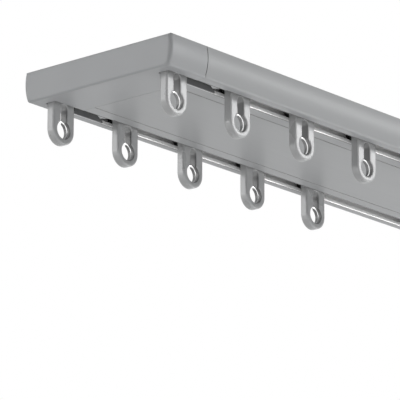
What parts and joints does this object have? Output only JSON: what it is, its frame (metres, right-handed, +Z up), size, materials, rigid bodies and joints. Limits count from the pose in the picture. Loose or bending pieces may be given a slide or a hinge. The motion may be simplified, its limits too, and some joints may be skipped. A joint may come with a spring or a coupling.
{
  "type": "curtain track",
  "caption": "Flat ceiling curtain track with parallel roller channels, convex sides, moulded end caps with parking bays, and roller gliders with keyhole eyes.",
  "frame": {"origin": "middle of the ceiling plane, centred along and across the track", "axes": "+X along the track away from the end cap that the picture shows, +Y across it towards the far row, +Z up towards the ceiling"},
  "size_m": [0.3, 0.0844, 0.0318],
  "materials": {
    "aluminium": "satin silver-grey coated extrusion",
    "cap_plastic": "silver-grey satin moulding",
    "glider_plastic": "light grey satin moulding",
    "axle_white": "plain white pin",
    "roller_black": "smooth black moulding"
  },
  "bodies": {
    "rail": {"track": "aluminium", "left_end_cap": "cap_plastic", "right_end_cap": "cap_plastic"},
    "near_carriage_1": {"near_glider_1": "glider_plastic", "near_axle_1": "axle_white"},
    "near_front_roller_1": {"near_front_wheel_1": "roller_black"},
    "near_back_roller_1": {"near_back_wheel_1": "roller_black"},
    "near_carriage_2": {"near_glider_2": "glider_plastic", "near_axle_2": "axle_white"},
    "near_front_roller_2": {"near_front_wheel_2": "roller_black"},
    "near_back_roller_2": {"near_back_wheel_2": "roller_black"},
    "near_carriage_3": {"near_glider_3": "glider_plastic", "near_axle_3": "axle_white"},
    "near_front_roller_3": {"near_front_wheel_3": "roller_black"},
    "near_back_roller_3": {"near_back_wheel_3": "roller_black"},
    "near_carriage_4": {"near_glider_4": "glider_plastic", "near_axle_4": "axle_white"},
    "near_front_roller_4": {"near_front_wheel_4": "roller_black"},
    "near_back_roller_4": {"near_back_wheel_4": "roller_black"},
    "near_carriage_5": {"near_glider_5": "glider_plastic", "near_axle_5": "axle_white"},
    "near_front_roller_5": {"near_front_wheel_5": "roller_black"},
    "near_back_roller_5": {"near_back_wheel_5": "roller_black"},
    "far_carriage_1": {"far_glider_1": "glider_plastic", "far_axle_1": "axle_white"},
    "far_front_roller_1": {"far_front_wheel_1": "roller_black"},
    "far_back_roller_1": {"far_back_wheel_1": "roller_black"},
    "far_carriage_2": {"far_glider_2": "glider_plastic", "far_axle_2": "axle_white"},
    "far_front_roller_2": {"far_front_wheel_2": "roller_black"},
    "far_back_roller_2": {"far_back_wheel_2": "roller_black"},
    "far_carriage_3": {"far_glider_3": "glider_plastic", "far_axle_3": "axle_white"},
    "far_front_roller_3": {"far_front_wheel_3": "roller_black"},
    "far_back_roller_3": {"far_back_wheel_3": "roller_black"},
    "far_carriage_4": {"far_glider_4": "glider_plastic", "far_axle_4": "axle_white"},
    "far_front_roller_4": {"far_front_wheel_4": "roller_black"},
    "far_back_roller_4": {"far_back_wheel_4": "roller_black"},
    "far_carriage_5": {"far_glider_5": "glider_plastic", "far_axle_5": "axle_white"},
    "far_front_roller_5": {"far_front_wheel_5": "roller_black"},
    "far_back_roller_5": {"far_back_wheel_5": "roller_black"}
  },
  "joints": [
    {"name": "near_slide_1", "type": "slide", "parent": "rail", "child": "near_carriage_1", "axis": [1, 0, 0], "range_m": [-0.0002, 0.01315]},
    {"name": "near_front_roll_1", "type": "hinge", "parent": "near_carriage_1", "child": "near_front_roller_1", "pos_m": [-0.1371, -0.0377, -0.00705], "axis": [0, 1, 0], "range_deg": [-2.64, 141.33]},
    {"name": "near_back_roll_1", "type": "hinge", "parent": "near_carriage_1", "child": "near_back_roller_1", "pos_m": [-0.1371, -0.0273, -0.00705], "axis": [0, 1, 0], "range_deg": [-2.64, 141.33]},
    {"name": "near_slide_2", "type": "slide", "parent": "rail", "child": "near_carriage_2", "axis": [1, 0, 0], "range_m": [-0.00865, 0.0302]},
    {"name": "near_front_roll_2", "type": "hinge", "parent": "near_carriage_2", "child": "near_front_roller_2", "pos_m": [-0.0954, -0.0377, -0.00705], "axis": [0, 1, 0], "range_deg": [-93.14, 323.93]},
    {"name": "near_back_roll_2", "type": "hinge", "parent": "near_carriage_2", "child": "near_back_roller_2", "pos_m": [-0.0954, -0.0273, -0.00705], "axis": [0, 1, 0], "range_deg": [-93.14, 323.93]},
    {"name": "near_slide_3", "type": "slide", "parent": "rail", "child": "near_carriage_3", "axis": [1, 0, 0], "range_m": [-0.0302, 0.0302]},
    {"name": "near_front_roll_3", "type": "hinge", "parent": "near_carriage_3", "child": "near_front_roller_3", "pos_m": [-0.0516, -0.0377, -0.00705], "axis": [0, 1, 0], "range_deg": [-323.93, 323.93]},
    {"name": "near_back_roll_3", "type": "hinge", "parent": "near_carriage_3", "child": "near_back_roller_3", "pos_m": [-0.0516, -0.0273, -0.00705], "axis": [0, 1, 0], "range_deg": [-323.93, 323.93]},
    {"name": "near_slide_4", "type": "slide", "parent": "rail", "child": "near_carriage_4", "axis": [1, 0, 0], "range_m": [-0.0302, 0.0302]},
    {"name": "near_front_roll_4", "type": "hinge", "parent": "near_carriage_4", "child": "near_front_roller_4", "pos_m": [-0.0078, -0.0377, -0.00705], "axis": [0, 1, 0], "range_deg": [-323.93, 323.93]},
    {"name": "near_back_roll_4", "type": "hinge", "parent": "near_carriage_4", "child": "near_back_roller_4", "pos_m": [-0.0078, -0.0273, -0.00705], "axis": [0, 1, 0], "range_deg": [-323.93, 323.93]},
    {"name": "near_slide_5", "type": "slide", "parent": "rail", "child": "near_carriage_5", "axis": [1, 0, 0], "range_m": [-0.0302, 0.06805]},
    {"name": "near_front_roll_5", "type": "hinge", "parent": "near_carriage_5", "child": "near_front_roller_5", "pos_m": [0.036, -0.0377, -0.00705], "axis": [0, 1, 0], "range_deg": [-323.93, 729.28]},
    {"name": "near_back_roll_5", "type": "hinge", "parent": "near_carriage_5", "child": "near_back_roller_5", "pos_m": [0.036, -0.0273, -0.00705], "axis": [0, 1, 0], "range_deg": [-323.93, 729.28]},
    {"name": "far_slide_1", "type": "slide", "parent": "rail", "child": "far_carriage_1", "axis": [1, 0, 0], "range_m": [-0.0002, 0.01315]},
    {"name": "far_front_roll_1", "type": "hinge", "parent": "far_carriage_1", "child": "far_front_roller_1", "pos_m": [-0.1371, 0.0273, -0.00705], "axis": [0, 1, 0], "range_deg": [-2.64, 141.33]},
    {"name": "far_back_roll_1", "type": "hinge", "parent": "far_carriage_1", "child": "far_back_roller_1", "pos_m": [-0.1371, 0.0377, -0.00705], "axis": [0, 1, 0], "range_deg": [-2.64, 141.33]},
    {"name": "far_slide_2", "type": "slide", "parent": "rail", "child": "far_carriage_2", "axis": [1, 0, 0], "range_m": [-0.00865, 0.0302]},
    {"name": "far_front_roll_2", "type": "hinge", "parent": "far_carriage_2", "child": "far_front_roller_2", "pos_m": [-0.0954, 0.0273, -0.00705], "axis": [0, 1, 0], "range_deg": [-93.14, 323.93]},
    {"name": "far_back_roll_2", "type": "hinge", "parent": "far_carriage_2", "child": "far_back_roller_2", "pos_m": [-0.0954, 0.0377, -0.00705], "axis": [0, 1, 0], "range_deg": [-93.14, 323.93]},
    {"name": "far_slide_3", "type": "slide", "parent": "rail", "child": "far_carriage_3", "axis": [1, 0, 0], "range_m": [-0.0302, 0.0302]},
    {"name": "far_front_roll_3", "type": "hinge", "parent": "far_carriage_3", "child": "far_front_roller_3", "pos_m": [-0.0516, 0.0273, -0.00705], "axis": [0, 1, 0], "range_deg": [-323.93, 323.93]},
    {"name": "far_back_roll_3", "type": "hinge", "parent": "far_carriage_3", "child": "far_back_roller_3", "pos_m": [-0.0516, 0.0377, -0.00705], "axis": [0, 1, 0], "range_deg": [-323.93, 323.93]},
    {"name": "far_slide_4", "type": "slide", "parent": "rail", "child": "far_carriage_4", "axis": [1, 0, 0], "range_m": [-0.0302, 0.0302]},
    {"name": "far_front_roll_4", "type": "hinge", "parent": "far_carriage_4", "child": "far_front_roller_4", "pos_m": [-0.0078, 0.0273, -0.00705], "axis": [0, 1, 0], "range_deg": [-323.93, 323.93]},
    {"name": "far_back_roll_4", "type": "hinge", "parent": "far_carriage_4", "child": "far_back_roller_4", "pos_m": [-0.0078, 0.0377, -0.00705], "axis": [0, 1, 0], "range_deg": [-323.93, 323.93]},
    {"name": "far_slide_5", "type": "slide", "parent": "rail", "child": "far_carriage_5", "axis": [1, 0, 0], "range_m": [-0.0302, 0.06805]},
    {"name": "far_front_roll_5", "type": "hinge", "parent": "far_carriage_5", "child": "far_front_roller_5", "pos_m": [0.036, 0.0273, -0.00705], "axis": [0, 1, 0], "range_deg": [-323.93, 729.28]},
    {"name": "far_back_roll_5", "type": "hinge", "parent": "far_carriage_5", "child": "far_back_roller_5", "pos_m": [0.036, 0.0377, -0.00705], "axis": [0, 1, 0], "range_deg": [-323.93, 729.28]}
  ],
  "couplings": [
    {"joint": "near_front_roll_1", "follows": "near_slide_1", "rad_per_m": 186.92},
    {"joint": "near_back_roll_1", "follows": "near_slide_1", "rad_per_m": 186.92},
    {"joint": "near_front_roll_2", "follows": "near_slide_2", "rad_per_m": 186.92},
    {"joint": "near_back_roll_2", "follows": "near_slide_2", "rad_per_m": 186.92},
    {"joint": "near_front_roll_3", "follows": "near_slide_3", "rad_per_m": 186.92},
    {"joint": "near_back_roll_3", "follows": "near_slide_3", "rad_per_m": 186.92},
    {"joint": "near_front_roll_4", "follows": "near_slide_4", "rad_per_m": 186.92},
    {"joint": "near_back_roll_4", "follows": "near_slide_4", "rad_per_m": 186.92},
    {"joint": "near_front_roll_5", "follows": "near_slide_5", "rad_per_m": 186.92},
    {"joint": "near_back_roll_5", "follows": "near_slide_5", "rad_per_m": 186.92},
    {"joint": "far_front_roll_1", "follows": "far_slide_1", "rad_per_m": 186.92},
    {"joint": "far_back_roll_1", "follows": "far_slide_1", "rad_per_m": 186.92},
    {"joint": "far_front_roll_2", "follows": "far_slide_2", "rad_per_m": 186.92},
    {"joint": "far_back_roll_2", "follows": "far_slide_2", "rad_per_m": 186.92},
    {"joint": "far_front_roll_3", "follows": "far_slide_3", "rad_per_m": 186.92},
    {"joint": "far_back_roll_3", "follows": "far_slide_3", "rad_per_m": 186.92},
    {"joint": "far_front_roll_4", "follows": "far_slide_4", "rad_per_m": 186.92},
    {"joint": "far_back_roll_4", "follows": "far_slide_4", "rad_per_m": 186.92},
    {"joint": "far_front_roll_5", "follows": "far_slide_5", "rad_per_m": 186.92},
    {"joint": "far_back_roll_5", "follows": "far_slide_5", "rad_per_m": 186.92}
  ]
}
